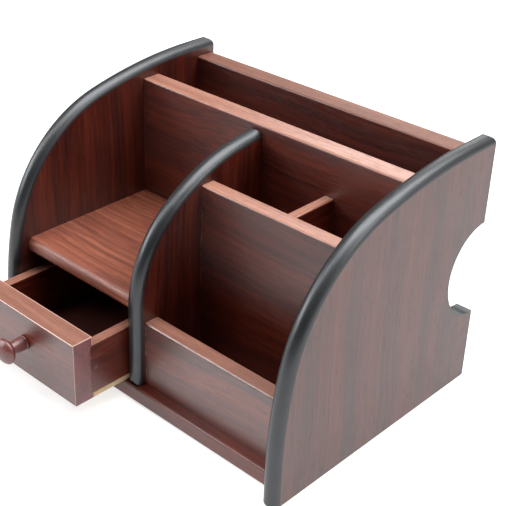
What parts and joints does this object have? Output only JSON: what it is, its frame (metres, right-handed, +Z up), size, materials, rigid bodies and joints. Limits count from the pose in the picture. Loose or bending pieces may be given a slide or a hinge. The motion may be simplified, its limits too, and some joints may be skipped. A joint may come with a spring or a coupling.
{
  "type": "pen stand with drawer",
  "caption": "Desk stand of dark laminated boards with curved sides in black edging, slots for pens and cards, a rear tray, and a small shelf over an inset drawer with a turned knob.",
  "frame": {"origin": "centre of the bounding box at its bottom, where the side panels rest on the desk, with the drawer standing open as in its rest pose", "axes": "+X to the right when facing the drawer, +Y from the drawer to the open back, +Z up; the drawer opens along -Y"},
  "size_m": [0.2, 0.1908, 0.1399],
  "materials": {
    "dark_laminate": "satin",
    "light_laminate": "satin",
    "black_edging": "satin",
    "beech": "matte",
    "pale_board": "matte",
    "turned_knob": "gloss",
    "zinc_steel": "satin"
  },
  "bodies": {
    "carcass": {"left_panel": "dark_laminate", "right_panel": "dark_laminate", "middle_divider": "dark_laminate", "base_board": "dark_laminate", "back_rail": "dark_laminate", "tall_partition": "dark_laminate", "rear_tray_floor": "dark_laminate", "pen_partition": "dark_laminate", "pen_slot_divider": "dark_laminate", "front_board": "dark_laminate", "drawer_shelf": "light_laminate", "left_edging": "black_edging", "right_edging": "black_edging", "divider_edging": "black_edging", "left_rear_band": "black_edging", "right_rear_band": "black_edging", "left_dowels": "beech", "right_dowels": "beech", "divider_dowels": "beech", "rear_joint_dowels": "beech", "base_screws": "zinc_steel"},
    "drawer": {"drawer_front": "dark_laminate", "drawer_left_side": "dark_laminate", "drawer_right_side": "dark_laminate", "drawer_back": "dark_laminate", "drawer_bottom": "pale_board", "drawer_knob": "turned_knob", "knob_screw": "zinc_steel", "drawer_brads": "zinc_steel", "drawer_bottom_tacks": "zinc_steel"}
  },
  "joints": [
    {"name": "drawer_slide", "type": "slide", "parent": "carcass", "child": "drawer", "axis": [0, -1, 0], "range_m": [-0.0353, 0.034]}
  ]
}
